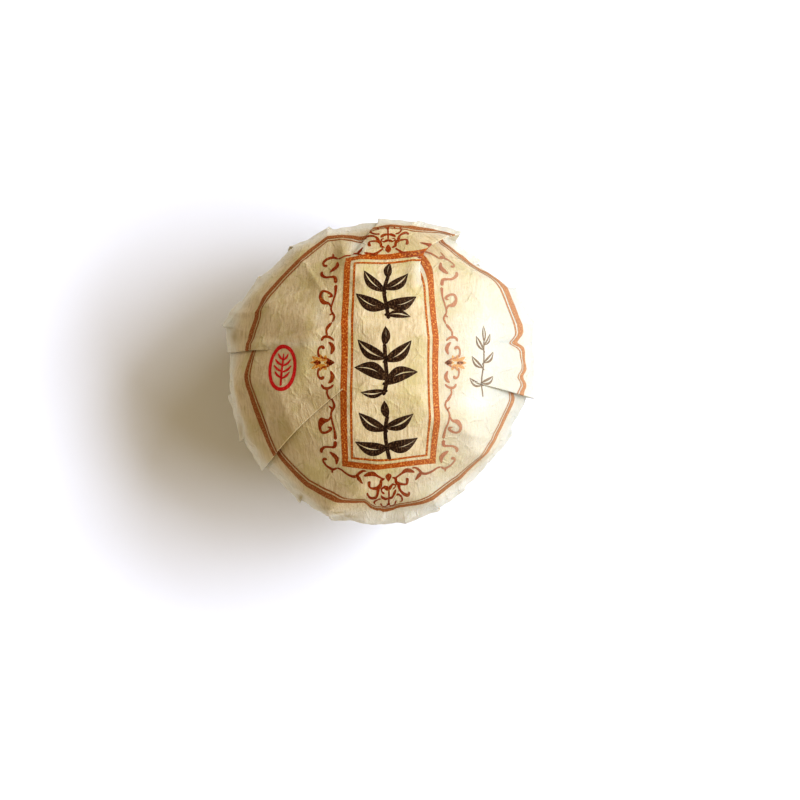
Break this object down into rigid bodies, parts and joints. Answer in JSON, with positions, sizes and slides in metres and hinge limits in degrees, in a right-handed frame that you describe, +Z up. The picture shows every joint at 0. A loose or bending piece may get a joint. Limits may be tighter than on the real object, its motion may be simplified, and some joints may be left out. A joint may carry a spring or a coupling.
{
  "type": "pu-erh tea ball",
  "caption": "Small ball of pressed tea in a thin printed paper wrapper that is gathered, twisted and pressed flat underneath.",
  "frame": {"origin": "centre of the bounding box's bottom face, on the pressed knot that the ball rests on", "axes": "+Z up, towards the printed face; +Y to the top of the print; +X to the right of the print"},
  "size_m": [0.0276, 0.0272, 0.0245],
  "materials": {
    "paper": "matt thin fibrous paper, cream, with printing"
  },
  "bodies": {
    "root": {"wrapped_ball": "paper"}
  },
  "joints": []
}
